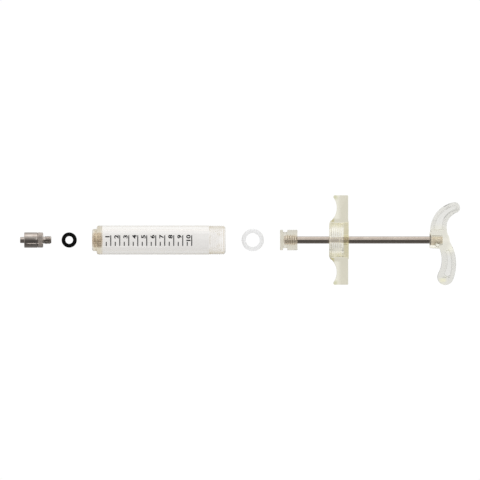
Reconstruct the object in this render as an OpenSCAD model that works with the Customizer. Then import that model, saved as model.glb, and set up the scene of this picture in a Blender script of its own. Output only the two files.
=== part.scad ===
// Reusable veterinary syringe, laid out as it is taken apart for cleaning.
// The pieces lie in a row along X, with the nozzle at the front (-X).
// The nozzle, the two rings and the finger grip lie on the table.
// The barrel is held in line with the rod, ready to slide over the piston.

/* [Barrel] */
// Bore that the piston runs in
bore_d = 14.65; // [12:0.05:17]
// Wall of the barrel around the bore
barrel_wall = 2.2; // [1.6:0.1:3.2]
// Capacity that the scale shows, in millilitres
capacity_ml = 10; // [6:1:12]
// Plain length between the last scale line and the thread
scale_to_thread = 11.4; // [4:0.1:20]
// Length of the nose in front of the shoulder
nose_len = 3; // [2.5:0.1:5]
// Step from the barrel's outside down to the nose
nose_step = 2.25; // [1.4:0.05:2.6]
// Thickness of the closed end, from the nose face to the bore
end_wall = 6.4; // [5.5:0.1:9]
// Rounding of the shoulder
shoulder_round = 1.2; // [0.5:0.1:1.3]
// Rounding of the open end
mouth_round = 1.2; // [0.5:0.1:1.3]
// Length of the outside thread, from the open end
thread_len = 10.9; // [8:0.1:14]
// Pitch of the outside thread
thread_pitch = 1.2; // [1:0.05:1.6]
// Depth of the outside thread
thread_depth = 0.55; // [0.35:0.05:0.6]

/* [Scale] */
// Width of a scale line along the barrel
tick_w = 0.6; // [0.3:0.05:0.8]
// Length of a whole-millilitre line around the barrel
long_tick = 7; // [4:0.1:9]
// Length of a half-millilitre line around the barrel
short_tick = 2.7; // [1.5:0.1:3.5]
// Distance of the lines' lower ends below the axis
tick_foot = 3.9; // [3:0.1:5]
// Height of a numeral
numeral_h = 2.9; // [2:0.1:3.2]
// Width of a numeral
numeral_w = 2.2; // [1.6:0.1:2.4]
// Width of a numeral's strokes
stroke_w = 0.5; // [0.3:0.02:0.54]
// Gap between a numeral and its line
numeral_gap = 0.9; // [0.5:0.1:1.2]
// Thickness of the printed ink
ink_t = 0.06; // [0.04:0.01:0.2]

/* [Nozzle] */
// Diameter of the luer cone at its tip
luer_tip_d = 3.96; // [3.9:0.01:4.1]
// Length of the luer cone
luer_len = 9; // [7.5:0.1:10]
// Length of the cone in front of the sleeve
luer_proud = 2.7; // [1.5:0.1:4]
// Fluid passage through the nozzle
passage_d = 2; // [1.2:0.1:2.6]
// Outside diameter of the lock sleeve
sleeve_d = 10.2; // [9.6:0.1:12]
// Length of the lock sleeve
sleeve_len = 8.8; // [8:0.1:11]
// Major diameter of the lock thread
lock_d = 8; // [7.8:0.1:8.4]
// Length of the knurled flange
knurl_len = 3.7; // [2.5:0.1:6]
// Number of knurl grooves around the flange
knurl_count = 32; // [20:2:40]
// Depth of the knurl
knurl_depth = 0.3; // [0.15:0.05:0.4]
// Diameter of the threaded stub
stub_d = 5.3; // [5:0.1:5.6]
// Length of the stub's thread
stub_len = 4.4; // [3:0.1:5]
// Length of the plain neck in front of the stub's thread
neck_len = 1; // [0.6:0.1:1.6]
// Pitch of the stub's thread
stub_pitch = 0.9; // [0.8:0.05:1.1]
// Depth of the stub's thread
stub_thread_depth = 0.4; // [0.25:0.05:0.5]

/* [Seals] */
// Section of the nozzle's O-ring
o_ring_t = 2.2; // [1.8:0.1:2.6]
// Depth of the O-ring's seat in the nose
o_ring_seat = 1.2; // [0.6:0.1:1.6]
// Section of the piston's seal ring
seal_t = 2.75; // [2.2:0.05:2.9]
// Squeeze of the relaxed seal ring's edge in the bore
seal_squeeze = 0.03; // [0:0.01:0.1]

/* [Piston and rod] */
// Gap between the piston and the bore, on the radius
piston_gap = 0.6; // [0.2:0.05:1]
// Length of the piston
piston_len = 11.4; // [9.5:0.1:16]
// Width of the lip in front of the seal groove
lip_w = 1.9; // [1.2:0.1:3]
// Depth of the seal groove
groove_depth = 1.35; // [0.8:0.05:1.8]
// Thickness of plastic in front of the rod's end
piston_front = 2.3; // [1.5:0.1:4]
// Diameter of the rod
rod_d = 4.7; // [4:0.1:5.5]
// Pitch of the rod's threads
rod_pitch = 1.4; // [1:0.1:1.6]
// Depth of the rod's threads
rod_thread_depth = 0.45; // [0.3:0.05:0.5]

/* [Inserts] */
// Wall of the nose's insert outside its thread
nose_insert_wall = 0.65; // [0.6:0.05:1]
// Wall of the handle's insert outside its thread
handle_insert_wall = 1; // [0.6:0.05:1.2]
// Length of each knurled band of an insert
insert_band = 1.6; // [1:0.1:2]
// Depth of the plain groove between the bands
insert_groove = 0.35; // [0.2:0.05:0.45]
// Flutes around an insert
insert_flutes = 20; // [12:1:24]
// Radius of a flute
flute_r = 0.25; // [0.15:0.02:0.3]
// Length of the insert in the handle
handle_insert_len = 8; // [6:0.1:10]
// Depth of the handle's insert below the boss face
insert_sink = 0.6; // [0.2:0.1:1.5]

/* [Finger grip] */
// Wall of the hub outside its thread
hub_wall = 3.3; // [2.5:0.1:4.5]
// Depth of the threaded socket
socket_depth = 9.3; // [7:0.1:11]
// Thickness of the hub's back, which guides the rod
hub_back = 3.5; // [2:0.1:6]
// Height that the hub's back stands proud of the arms
hub_proud = 0.3; // [0.1:0.1:1]
// Depth of the flats that keep the hub from rolling
hub_flat = 0.3; // [0.2:0.05:0.5]
// Chamfer of the hub's rims
hub_chamfer = 0.7; // [0.3:0.1:1.2]
// Span over both arms
arm_span = 59; // [50:0.5:70]
// Thickness of an arm at the bottom of its finger notch
arm_thick = 7.5; // [5:0.1:8.5]
// Thickness of an arm at its tip
tip_thick = 9.7; // [9:0.1:11]
// Depth of the arms, across the finger
arm_depth = 12.4; // [9:0.1:16]
// Radius of the finger notch
notch_r = 11.7; // [10:0.1:14]

/* [Handle] */
// Depth of the handle
handle_depth = 12; // [9.5:0.1:16]
// Distance from the boss face to the middle of the waist
waist_x = 5.9; // [5:0.1:8]
// Radius of the upper bend's middle line
upper_r = 14.6; // [13:0.1:17]
// Height of the upper bend's centre above the rod
upper_lift = 7.3; // [6:0.1:9]
// Radius of the lower bend's middle line
lower_r = 23.2; // [20:0.1:26]
// Half width at the hook's round end
hook_w = 3.6; // [2.8:0.1:4.2]
// Half width at the waist
waist_w = 5.4; // [5:0.1:6.5]
// Half width at the palm
palm_w = 4; // [3.6:0.1:5]
// Half width at the lower round end
foot_w = 5.3; // [4:0.1:6]
// Width of the rim around the recessed faces
rim_w = 1.9; // [1.2:0.1:2.2]
// Thickness of the web between the recessed faces
web_t = 5; // [3:0.1:7]
// Diameter of the boss at its face
boss_d = 10.6; // [9:0.1:11]
// Length of the boss
boss_len = 9; // [6:0.1:10]

/* [Fits] */
// Clearance of screwed threads, on the radius
thread_gap = 0.15; // [0.08:0.01:0.3]
// Clearance of the rod in the grip, on the radius
slide_gap = 0.15; // [0.08:0.01:0.4]
// Clearance of pressed and moulded-in pieces
press_gap = 0.02; // [0.01:0.01:0.05]
// Clearance of the O-ring in its seat, on the radius
seat_gap = 0.2; // [0.1:0.05:0.4]
// Gap left at the end of a screwed or sliding travel
end_gap = 0.1; // [0.05:0.05:0.3]

/* [Layout] */
// Gap between the nozzle and the O-ring
nozzle_gap = 6.9; // [2:0.1:20]
// Gap between the O-ring and the barrel
o_ring_gap = 10.4; // [4:0.1:20]
// Gap between the barrel and the seal ring
seal_gap = 10.6; // [4:0.1:20]
// Gap between the seal ring and the piston
piston_space = 10.7; // [4:0.1:20]
// Gap between the piston and the finger grip
grip_space = 21; // [2:0.1:30]
// Finger room between grip and handle when the plunger is pushed right in
finger_room = 13.5; // [6:0.1:30]

/* [Hidden] */

$fn = 96;
// Cut depth that reaches past a face
past = 1;
// Steps of a rounded corner and of a long bend
corner_steps = 6;
bend_steps = 24;
// Small edge breaks on turned and moulded rims
edge_break = 0.4;

// Outline of one thread tooth: share of the pitch, share of the depth
tooth = [[0.12, 0], [0.38, 1], [0.62, 1], [0.88, 0]];

// Barrel
bore_r = bore_d / 2;
barrel_r = bore_r + barrel_wall;
nose_r = barrel_r - nose_step;
ml_len = 1000 / (PI * bore_r * bore_r);
barrel_len = end_wall + capacity_ml * ml_len + scale_to_thread + thread_len;
thread_root_r = barrel_r - thread_depth;
thread_start = barrel_len - thread_len;
thread_turns = floor((thread_len - mouth_round) / thread_pitch);

// Rings
o_ring_id = stub_d + 2 * press_gap;
o_ring_od = o_ring_id + 2 * o_ring_t;
seat_r = o_ring_od / 2 + seat_gap;
seal_od = bore_d + 2 * seal_squeeze;

// Nozzle, measured from the tip of the cone
sleeve_end = luer_proud + sleeve_len;
flange_end = sleeve_end + knurl_len;
stub_start = flange_end + neck_len;
nozzle_len = stub_start + stub_len;
luer_taper = 0.06;
stub_r = stub_d / 2;
stub_root_r = stub_r - stub_thread_depth;
stub_turns = floor(stub_len / stub_pitch);
flange_r = sleeve_d / 2 - edge_break / 4;
spigot_r = lock_d / 2 - press_gap;
lock_pitch = 2.5;
lock_ridge = 0.5;
lock_ridge_w = 1;
knurl_rings = 3;

// Distance of the nozzle's flange from the nose when it is screwed home
flange_stand = o_ring_t - o_ring_seat + end_gap;

// Piston and rod
piston_r = bore_r - piston_gap;
groove_r = piston_r - groove_depth;
groove_w = seal_t + end_gap;
rod_r = rod_d / 2;
rod_root_r = rod_r - rod_thread_depth;
in_piston = piston_len - piston_front;
piston_turns = floor(in_piston / rod_pitch);
in_handle = insert_sink + handle_insert_len;
handle_turns = floor(handle_insert_len / rod_pitch);
bore_depth = barrel_len - end_wall;
rod_free = bore_depth - piston_len + hub_back + finger_room;
rod_len = in_piston + rod_free + in_handle;

// Inserts
nose_insert_len = end_wall - o_ring_seat;
nose_insert_r = stub_r + thread_gap + nose_insert_wall;
handle_insert_r = rod_r + thread_gap + handle_insert_wall;

// Finger grip
hub_r = barrel_r + thread_gap + hub_wall;
hub_len = socket_depth + hub_back;
arm_back = hub_len - hub_proud;
notch_y = (hub_r + arm_span / 2) / 2;
axis_z = hub_r - hub_flat;

// Handle: two bends that meet at the bend angle, seen with the rod along +X
hook_angle = 105.9;
bend_angle = 215;
foot_angle = -25.5;
palm_angle = 29;
boss_flare = 1.12;
upper_c = [waist_x + upper_r, upper_lift];
lower_c = upper_c + (upper_r + lower_r) * [cos(bend_angle), sin(bend_angle)];
hook_c = upper_c + upper_r * [cos(hook_angle), sin(hook_angle)];
foot_c = lower_c + lower_r * [cos(foot_angle), sin(foot_angle)];
// Ends of the recessed faces along the two bends
upper_pocket = [hook_angle, 182];
lower_pocket = [-19, 14];
palm_rim = 1.5;

// Places along X, from the nozzle's tip to the hook of the handle
layout_len = nozzle_len + nozzle_gap + o_ring_od + o_ring_gap + barrel_len + seal_gap + seal_od
    + piston_space + piston_len + rod_free + hook_c[0] + hook_w;
nozzle_x = -layout_len / 2;
nozzle_z = sleeve_d / 2;
o_ring_x = nozzle_x + nozzle_len + nozzle_gap + o_ring_od / 2;
barrel_x = o_ring_x + o_ring_od / 2 + o_ring_gap;
seal_x = barrel_x + barrel_len + seal_gap + seal_od / 2;
piston_x = seal_x + seal_od / 2 + piston_space;
rod_x = piston_x + piston_front;
grip_x = piston_x + piston_len + grip_space;
handle_x = rod_x + in_piston + rod_free;

// Corner arc from one angle to another, as [radius, height] points
function arc(centre, r, from, to, steps) = [
    for (i = [0 : steps])
        let (a = from + (to - from) * i / steps)
        centre + r * [cos(a), sin(a)]
];

// Thread teeth from a height upwards, as [radius, height] points
function teeth(start, turns, pitch, root_r, crest_r) = [
    for (i = [0 : turns - 1], p = tooth)
        [root_r + p[1] * (crest_r - root_r), start + (i + p[0]) * pitch]
];

// Outside of an insert with two knurled bands, enlarged by a gap
function insert_outline(len, r, gap) = [
    [r + gap, 0],
    [r + gap, insert_band + gap],
    [r - insert_groove + gap, insert_band + gap],
    [r - insert_groove + gap, len - insert_band - gap],
    [r + gap, len - insert_band - gap],
    [r + gap, len]
];

function shifted(points, height) = [for (p = points) [p[0], p[1] + height]];

function reversed(points) = [for (i = [len(points) - 1 : -1 : 0]) points[i]];

// Lays a turned piece's +Z along X, from a place on X, at the rod's height or another
module along_axis(x, z = axis_z) {
    translate([x, 0, z])
        rotate([0, 90, 0])
            children();
}

// Space that a screwed thread takes, with its clearance, from one height to another
module thread_space(start, turns, pitch, root_r, crest_r, from, to) {
    rotate_extrude()
        polygon(concat(
            [[0, from], [root_r + thread_gap, from]],
            [for (p = teeth(start, turns, pitch, root_r + thread_gap, crest_r + thread_gap))
                if (p[1] > from && p[1] < to) p],
            [[root_r + thread_gap, to], [0, to]]
        ));
}

// Threaded insert with fluted bands, standing on Z = 0
module fluted_insert(len, r) {
    difference() {
        rotate_extrude()
            polygon(concat([[0, 0]], insert_outline(len, r, 0), [[0, len]]));
        for (i = [0 : insert_flutes - 1])
            rotate(i * 360 / insert_flutes)
                translate([r, 0, -past])
                    cylinder(r = flute_r, h = len + 2 * past, $fn = 24);
    }
}

// Ring of round section lying flat on the table
module flat_ring(x, od, section) {
    translate([x, 0, section / 2])
        rotate_extrude()
            translate([(od - section) / 2, 0])
                circle(d = section, $fn = 48);
}

module nozzle_core() {
    color([0.66, 0.64, 0.61])
        along_axis(nozzle_x, nozzle_z)
            difference() {
                rotate_extrude()
                    polygon(concat(
                        [
                            [passage_d / 2, 0],
                            [luer_tip_d / 2, 0],
                            [(luer_tip_d + luer_taper * luer_len) / 2, luer_len],
                            [spigot_r, luer_len],
                            [spigot_r, sleeve_end],
                            [flange_r - knurl_depth, sleeve_end],
                            [flange_r, sleeve_end + knurl_depth],
                            [flange_r, flange_end - knurl_depth],
                            [flange_r - knurl_depth, flange_end],
                            [stub_root_r, flange_end],
                            [stub_root_r, stub_start]
                        ],
                        teeth(stub_start, stub_turns, stub_pitch, stub_root_r, stub_r),
                        [[stub_root_r, nozzle_len], [passage_d / 2, nozzle_len]]
                    ));
                knurl_grooves();
            }
}

// Lengthwise and ring grooves that leave small pyramids on the flange
module knurl_grooves() {
    for (i = [0 : knurl_count - 1])
        rotate(i * 360 / knurl_count)
            translate([flange_r, 0, sleeve_end + knurl_depth / 2])
                rotate(45)
                    translate([-knurl_depth / 2, -knurl_depth / 2, 0])
                        cube([knurl_depth, knurl_depth, knurl_len - knurl_depth]);
    for (i = [1 : knurl_rings])
        translate([0, 0, sleeve_end + i * knurl_len / (knurl_rings + 1)])
            rotate_extrude()
                translate([flange_r, 0])
                    rotate(45)
                        square(knurl_depth, center = true);
}

module lock_sleeve() {
    outer_r = sleeve_d / 2;
    inner_r = lock_d / 2;
    ridge = [[0, 0], [-lock_ridge, 0.25], [-lock_ridge, 0.75], [0, 1]];
    ridge_count = floor((luer_len - luer_proud - lock_ridge_w) / lock_pitch);
    color([0.72, 0.71, 0.69])
        along_axis(nozzle_x, nozzle_z)
            rotate_extrude()
                polygon(concat(
                    [[inner_r, sleeve_end], [outer_r, sleeve_end]],
                    arc([outer_r - edge_break, luer_proud + edge_break], edge_break, 0, -90, corner_steps),
                    [[inner_r, luer_proud]],
                    [
                        for (i = [0 : ridge_count - 1], p = ridge)
                            [inner_r + p[0], luer_proud + edge_break + i * lock_pitch + p[1] * lock_ridge_w]
                    ]
                ));
}

module nozzle_o_ring() {
    color([0.07, 0.07, 0.07])
        flat_ring(o_ring_x, o_ring_od, o_ring_t);
}

module barrel() {
    nose_edge = arc([nose_r - edge_break, edge_break], edge_break, -90, 0, corner_steps);
    shoulder = arc([barrel_r - shoulder_round, nose_len + shoulder_round], shoulder_round, -90, 0,
        corner_steps);
    mouth = arc([thread_root_r - mouth_round, barrel_len - mouth_round], mouth_round, 0, 90,
        corner_steps);
    pocket = shifted(insert_outline(nose_insert_len, nose_insert_r, press_gap), o_ring_seat);
    color([0.88, 0.88, 0.84, 0.6])
        along_axis(barrel_x)
            rotate_extrude()
                polygon(concat(
                    [[seat_r, 0]],
                    nose_edge,
                    [[nose_r, nose_len]],
                    shoulder,
                    [[barrel_r, thread_start], [thread_root_r, thread_start + tooth[0][0] * thread_pitch]],
                    teeth(thread_start, thread_turns, thread_pitch, thread_root_r, barrel_r),
                    mouth,
                    [[bore_r, barrel_len], [bore_r, end_wall]],
                    reversed(pocket),
                    [[seat_r, o_ring_seat]]
                ));
}

module nose_insert() {
    home = -flange_stand + neck_len - o_ring_seat;
    turns = ceil((nose_insert_len - home) / stub_pitch);
    color([0.62, 0.56, 0.45])
        along_axis(barrel_x + o_ring_seat)
            difference() {
                fluted_insert(nose_insert_len, nose_insert_r);
                thread_space(home, turns, stub_pitch, stub_root_r, stub_r, -past, nose_insert_len + past);
            }
}

// Thin skin of ink on the barrel, where the print stands on it seen from above
module inked() {
    intersection() {
        children();
        along_axis(barrel_x + end_wall)
            difference() {
                cylinder(r = barrel_r + ink_t, h = (capacity_ml + 1) * ml_len);
                translate([0, 0, -past])
                    cylinder(r = barrel_r, h = (capacity_ml + 1) * ml_len + 2 * past);
            }
    }
}

// Place of a scale line, in millilitres from the closed end
function scale_x(ml) = barrel_x + end_wall + ml * ml_len;

module scale_ticks() {
    color([0.12, 0.12, 0.12])
        inked()
            for (ml = [0.5 : 0.5 : capacity_ml]) {
                size = ml == floor(ml) ? long_tick : short_tick;
                translate([scale_x(ml) - tick_w / 2, -tick_foot, axis_z])
                    cube([tick_w, size, barrel_r + past]);
            }
}

module scale_numerals() {
    y = long_tick - tick_foot;
    color([0.12, 0.12, 0.12])
        inked()
            for (ml = [1 : capacity_ml])
                translate([scale_x(ml) - numeral_gap, y, axis_z])
                    rotate(90)
                        linear_extrude(barrel_r + past)
                            number(ml);
}

// A whole number, whose last numeral ends half a stroke past X = 0
module number(value) {
    last = stroke_w / 2 - numeral_w;
    translate([last, 0])
        numeral(value % 10);
    if (value > 9)
        translate([last - numeral_w - stroke_w, 0])
            numeral(floor(value / 10));
}

// A straight stroke between two points
module stroke(from, to) {
    d = to - from;
    translate(from)
        rotate(atan2(d[1], d[0]))
            translate([0, -stroke_w / 2])
                square([norm(d), stroke_w]);
}

// A bowed stroke around a centre, counter-clockwise between two angles
module bow(centre, r, from, to) {
    reach = 3 * r;
    fan = concat([[0, 0]], arc([0, 0], reach, from, to, corner_steps));
    translate(centre)
        intersection() {
            difference() {
                circle(r + stroke_w / 2, $fn = 48);
                circle(r - stroke_w / 2, $fn = 48);
            }
            polygon(fan);
        }
}

// A closed round stroke
module loop(centre, r) {
    translate(centre)
        difference() {
            circle(r + stroke_w / 2, $fn = 48);
            circle(r - stroke_w / 2, $fn = 48);
        }
}

// One numeral in a box that starts at the origin
module numeral(n) {
    half = stroke_w / 2;
    right = numeral_w - half;
    top = numeral_h - half;
    mid = numeral_w / 2;
    bowl = (numeral_h - stroke_w) / 4;
    low = half + bowl;
    high = top - bowl;
    wide = mid - half;
    if (n == 0) {
        bow([mid, top - wide], wide, 0, 180);
        bow([mid, half + wide], wide, 180, 360);
        stroke([half, half + wide], [half, top - wide]);
        stroke([right, half + wide], [right, top - wide]);
    }
    if (n == 1) {
        stroke([mid, 0], [mid, numeral_h]);
        stroke([half, high], [mid, top]);
    }
    if (n == 2) {
        bow([mid, high], bowl, -20, 180);
        stroke([mid + bowl * cos(-20), high + bowl * sin(-20)], [mid - bowl, half]);
        stroke([mid - bowl - half, half], [mid + bowl + half, half]);
    }
    if (n == 3) {
        bow([mid, high], bowl, -90, 150);
        bow([mid, low], bowl, -150, 90);
    }
    if (n == 4) {
        stroke([mid + half, 0], [mid + half, numeral_h]);
        stroke([mid + half, top], [half, low]);
        stroke([0, low], [numeral_w, low]);
    }
    if (n == 5) {
        stroke([mid - bowl, top], [mid + bowl, top]);
        stroke([mid - bowl, numeral_h], [mid - bowl, low + bowl / 2]);
        bow([mid, low], bowl * 1.15, -150, 150);
    }
    if (n == 6) {
        loop([mid, low], bowl);
        stroke([mid - bowl, low], [mid + half, numeral_h]);
    }
    if (n == 7) {
        stroke([mid - bowl - half, top], [mid + bowl + half, top]);
        stroke([mid + bowl, top], [mid - half, 0]);
    }
    if (n == 8) {
        loop([mid, low], bowl);
        loop([mid, high], bowl);
    }
    if (n == 9) {
        loop([mid, high], bowl);
        stroke([mid + bowl, high], [mid - half, 0]);
    }
}

module piston_seal() {
    color([0.9, 0.9, 0.9])
        flat_ring(seal_x, seal_od, seal_t);
}

module piston() {
    groove_end = lip_w + groove_w;
    color([0.86, 0.84, 0.76, 0.7])
        along_axis(piston_x)
            difference() {
                rotate_extrude()
                    polygon([
                        [0, 0],
                        [piston_r - edge_break, 0],
                        [piston_r, edge_break],
                        [piston_r, lip_w],
                        [groove_r, lip_w],
                        [groove_r, groove_end],
                        [piston_r, groove_end],
                        [piston_r, piston_len - edge_break],
                        [piston_r - edge_break, piston_len],
                        [0, piston_len]
                    ]);
                thread_space(piston_front, piston_turns, rod_pitch, rod_root_r, rod_r,
                    piston_front - end_gap, piston_len + past);
                translate([0, 0, piston_front + piston_turns * rod_pitch])
                    cylinder(r = rod_r + thread_gap, h = piston_len);
            }
}

module plunger_rod() {
    handle_start = rod_len - handle_turns * rod_pitch;
    color([0.7, 0.66, 0.62])
        along_axis(rod_x)
            rotate_extrude()
                polygon(concat(
                    [[0, 0], [rod_root_r, 0]],
                    teeth(0, piston_turns, rod_pitch, rod_root_r, rod_r),
                    [[rod_root_r, piston_turns * rod_pitch], [rod_r, piston_turns * rod_pitch]],
                    [[rod_r, handle_start], [rod_root_r, handle_start]],
                    teeth(handle_start, handle_turns, rod_pitch, rod_root_r, rod_r),
                    [[rod_root_r, rod_len], [0, rod_len]]
                ));
}

module finger_grip() {
    color([0.88, 0.85, 0.72, 0.7])
        difference() {
            intersection() {
                union() {
                    along_axis(grip_x)
                        rotate_extrude()
                            polygon([
                                [0, 0],
                                [hub_r - hub_chamfer, 0],
                                [hub_r, hub_chamfer],
                                [hub_r, hub_len - hub_chamfer],
                                [hub_r - hub_chamfer, hub_len],
                                [0, hub_len]
                            ]);
                    grip_arms();
                }
                translate([grip_x, -arm_span / 2, axis_z - hub_r + hub_flat])
                    cube([hub_len, arm_span, 2 * (hub_r - hub_flat)]);
            }
            along_axis(grip_x)
                thread_space(socket_depth - end_gap - thread_len, thread_turns, thread_pitch,
                    thread_root_r, barrel_r, -past, socket_depth);
            along_axis(grip_x)
                cylinder(r = rod_r + slide_gap, h = hub_len + past);
        }
}

// Both arms, with a concave notch for a finger in front of each
module grip_arms() {
    translate([grip_x + arm_back, 0, axis_z - arm_depth / 2])
        linear_extrude(arm_depth)
            difference() {
                translate([-tip_thick, -arm_span / 2])
                    square([tip_thick, arm_span]);
                for (side = [-1, 1])
                    translate([-arm_thick - notch_r, side * notch_y])
                        circle(notch_r);
            }
}

// Half width of the handle along its upper and lower bend
function upper_w(a) = lookup(a, [[hook_angle, hook_w], [180, waist_w]]);
function lower_w(a) = lookup(a, [[foot_angle, foot_w], [palm_angle, palm_w], [bend_angle - 180, waist_w]]);

// Edge of a bend on its outer (1) or inner (-1) side, drawn in by an inset
function upper_edge(from, to, side, inset) = [
    for (i = [0 : bend_steps])
        let (a = from + (to - from) * i / bend_steps)
        upper_c + (upper_r + side * (upper_w(a) - inset)) * [cos(a), sin(a)]
];
function lower_edge(from, to, side, inset) = [
    for (i = [0 : bend_steps])
        let (a = from + (to - from) * i / bend_steps)
        lower_c + (lower_r + side * (lower_w(a) - inset)) * [cos(a), sin(a)]
];

module handle_outline() {
    low_bend = bend_angle - 180;
    polygon(concat(
        upper_edge(hook_angle, bend_angle, 1, 0),
        lower_edge(low_bend, foot_angle, -1, 0),
        lower_edge(foot_angle, low_bend, 1, 0),
        upper_edge(bend_angle, hook_angle, -1, 0)
    ));
    translate(hook_c)
        circle(hook_w);
    translate(foot_c)
        circle(foot_w);
}

// Recessed faces of the upper and lower arm, with one round end each
module handle_pockets() {
    polygon(concat(
        upper_edge(upper_pocket[0], upper_pocket[1], 1, rim_w),
        upper_edge(upper_pocket[1], upper_pocket[0], -1, rim_w)
    ));
    translate(hook_c)
        circle(hook_w - rim_w);
    palm_inset = rim_w * palm_rim;
    pocket_foot = lower_pocket[0];
    polygon(concat(
        lower_edge(pocket_foot, lower_pocket[1], -1, palm_inset),
        lower_edge(lower_pocket[1], pocket_foot, 1, rim_w)
    ));
    foot_in = lower_edge(pocket_foot, pocket_foot, -1, palm_inset)[0];
    foot_out = lower_edge(pocket_foot, pocket_foot, 1, rim_w)[0];
    translate((foot_in + foot_out) / 2)
        circle(norm(foot_out - foot_in) / 2);
}

module handle() {
    color([0.9, 0.9, 0.86, 0.6])
        difference() {
            union() {
                translate([handle_x, 0, axis_z - handle_depth / 2])
                    linear_extrude(handle_depth)
                        handle_outline();
                along_axis(handle_x)
                    cylinder(d1 = boss_d, d2 = boss_d * boss_flare, h = boss_len);
            }
            for (side = [-1, 1])
                translate([handle_x, 0, axis_z + side * (web_t + handle_depth) / 2])
                    linear_extrude(handle_depth, center = true)
                        handle_pockets();
            along_axis(handle_x)
                rotate_extrude()
                    polygon(concat(
                        [[0, -past], [handle_insert_r + press_gap, -past]],
                        shifted(insert_outline(handle_insert_len, handle_insert_r, press_gap), insert_sink),
                        [[0, in_handle]]
                    ));
        }
}

module handle_insert() {
    home = handle_insert_len - handle_turns * rod_pitch;
    color([0.62, 0.58, 0.5])
        along_axis(handle_x + insert_sink)
            difference() {
                fluted_insert(handle_insert_len, handle_insert_r);
                thread_space(home, handle_turns, rod_pitch, rod_root_r, rod_r,
                    -past, handle_insert_len + past);
                translate([0, 0, -past])
                    cylinder(r = rod_r + thread_gap, h = past + home);
            }
}

nozzle_core();
lock_sleeve();
nozzle_o_ring();
barrel();
nose_insert();
scale_ticks();
scale_numerals();
piston_seal();
piston();
plunger_rod();
finger_grip();
handle();
handle_insert();
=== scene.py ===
"""Reusable veterinary syringe, laid out in its pieces on a white table and seen from straight above."""

import math

import bmesh
import bpy
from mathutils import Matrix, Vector


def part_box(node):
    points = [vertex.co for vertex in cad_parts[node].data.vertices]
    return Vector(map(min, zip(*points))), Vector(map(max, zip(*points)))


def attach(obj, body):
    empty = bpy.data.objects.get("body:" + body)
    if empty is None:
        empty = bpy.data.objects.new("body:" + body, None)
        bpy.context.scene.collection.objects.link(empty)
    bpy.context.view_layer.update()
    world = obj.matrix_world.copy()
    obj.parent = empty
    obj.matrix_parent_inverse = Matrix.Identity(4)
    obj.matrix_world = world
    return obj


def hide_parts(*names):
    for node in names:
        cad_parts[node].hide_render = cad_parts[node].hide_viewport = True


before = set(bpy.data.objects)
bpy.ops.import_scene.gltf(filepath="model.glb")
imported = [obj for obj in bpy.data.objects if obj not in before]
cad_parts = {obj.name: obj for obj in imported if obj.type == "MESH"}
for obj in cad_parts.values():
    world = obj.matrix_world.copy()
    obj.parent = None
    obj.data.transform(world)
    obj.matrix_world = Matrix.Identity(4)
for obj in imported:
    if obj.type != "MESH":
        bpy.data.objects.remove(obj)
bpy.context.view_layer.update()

MM = 0.001
FULL_TURN = 2 * math.pi
# Points closer than this are one point, in metres
TOUCH = 0.001 * MM
# Play where points are picked by their place, in millimetres
MARGIN = 0.01


# Places, read from the solids

def middle(node):
    low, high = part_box(node)
    return (low + high) / 2


def on_axis(node, height):
    """The front end of a turned solid, on its axis."""
    return Vector((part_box(node)[0].x, 0, height))


AXIS = middle("plunger_rod").z
NOZZLE_AXIS = middle("lock_sleeve").z
NOZZLE = on_axis("nozzle_core", NOZZLE_AXIS)
BARREL = on_axis("barrel", AXIS)
NOSE_INSERT = on_axis("nose_insert", AXIS)
PISTON = on_axis("piston", AXIS)
ROD = on_axis("plunger_rod", AXIS)
GRIP = on_axis("finger_grip", AXIS)
HANDLE = on_axis("handle", AXIS)
HANDLE_INSERT = on_axis("handle_insert", AXIS)

# Sizes in millimetres. The main ones are the solids', and fine ones such as roundings are this scene's

# Metal that is moulded in runs this far into the plastic; pressed-in metal has this much air around it
EMBED = 0.03
AIR = 0.06
# A thread's ridge starts this deep in what carries it
RIDGE_SINK = 0.1
# An insert's bore is this much wider than the nozzle's stub, and narrower than the rod that stays in it
BORE_FIT = 0.05
# Roundings of edges
FINE_EDGE = 0.15
TURNED_EDGE = 0.2
SMALL_EDGE = 0.3
MOULDED_EDGE = 0.4

BORE_R = 7.325
BARREL_R = 9.525
NOSE_R = 7.275
NOSE_LEN = 3.0
NOSE_BEVEL_LEN = 0.6
NOSE_BEVEL_R = 1.1
SHOULDER_EDGE = 1.3
END_WALL = 6.4
END_WALL_EDGE = 0.6
O_RING_SEAT = 1.2
SEAT_R = 5.07
BARREL_LEN = 88.0246
REAR_EDGE = 1.45
THREAD_LEN = 10.9
THREAD_LEAD = 0.3
THREAD_PITCH = 1.2
THREAD_ROOT_R = 9.2
THREAD_TURNS = 8
# A tooth's corners at root, crest, crest and root, as shares of the pitch, and its crest's rounding
TOOTH = (0.1, 0.42, 0.58, 0.9)
TOOTH_EDGE = 0.12
SOCKET_GAP = 0.15

ML_LEN = 5.93246
CAPACITY = 10
TICK_W = 0.66
LONG_TICK = 7.0
SHORT_TICK = 2.7
TICK_FOOT = 3.9
NUMERAL_H = 2.9
NUMERAL_WIDEN = 1.3
NUMERAL_GAP = 0.9
NUMERAL_FOOT = 0.3
# Growth of a numeral's strokes, as a share of the letter size, and the strips it is cut into to bend
NUMERAL_BOLD = 0.036
NUMERAL_STRIPS = 12
INK_T = 0.05
# Ink is drawn this far above the barrel and laid down to this far from it
INK_DROP = 0.5
INK_LIFT = 0.01

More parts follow.
